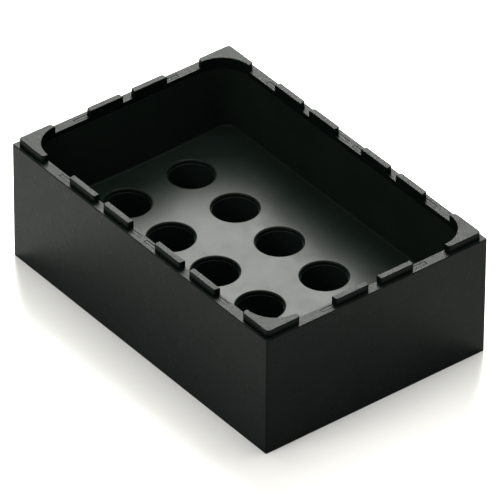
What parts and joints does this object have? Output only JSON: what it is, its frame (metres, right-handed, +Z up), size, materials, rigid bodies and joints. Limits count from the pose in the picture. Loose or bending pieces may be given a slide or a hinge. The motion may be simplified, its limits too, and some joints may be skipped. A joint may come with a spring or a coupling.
{
  "type": "stacking storage box",
  "caption": "Open rectangular stacking box with a castellated rim of raised tabs, a round-cornered cavity and blind round wells sunk in its raised floor.",
  "frame": {"origin": "middle of the base, on the surface that the box stands on", "axes": "+X along the long side, +Y along the short side, +Z up"},
  "size_m": [0.3, 0.2, 0.1055],
  "materials": {
    "shell_plastic": "fine-grained moulded black",
    "liner_plastic": "smooth satin black",
    "base_plastic": "fine-grained moulded black",
    "cup_plastic": "smooth satin black",
    "clip_plastic": "fine-grained moulded black"
  },
  "bodies": {
    "root": {"outer_shell": "shell_plastic", "inner_liner": "liner_plastic", "base_plate": "base_plastic", "well_cup_1_1": "cup_plastic", "well_cup_1_2": "cup_plastic", "well_cup_1_3": "cup_plastic", "well_cup_1_4": "cup_plastic", "well_cup_1_5": "cup_plastic", "well_cup_2_1": "cup_plastic", "well_cup_2_2": "cup_plastic", "well_cup_2_3": "cup_plastic", "well_cup_2_4": "cup_plastic", "well_cup_2_5": "cup_plastic", "rim_clip_front_1": "clip_plastic", "rim_clip_front_2": "clip_plastic", "rim_clip_front_3": "clip_plastic", "rim_clip_front_4": "clip_plastic", "rim_clip_right_1": "clip_plastic", "rim_clip_right_2": "clip_plastic", "rim_clip_back_1": "clip_plastic", "rim_clip_back_2": "clip_plastic", "rim_clip_back_3": "clip_plastic", "rim_clip_back_4": "clip_plastic", "rim_clip_left_1": "clip_plastic", "rim_clip_left_2": "clip_plastic"}
  },
  "joints": []
}
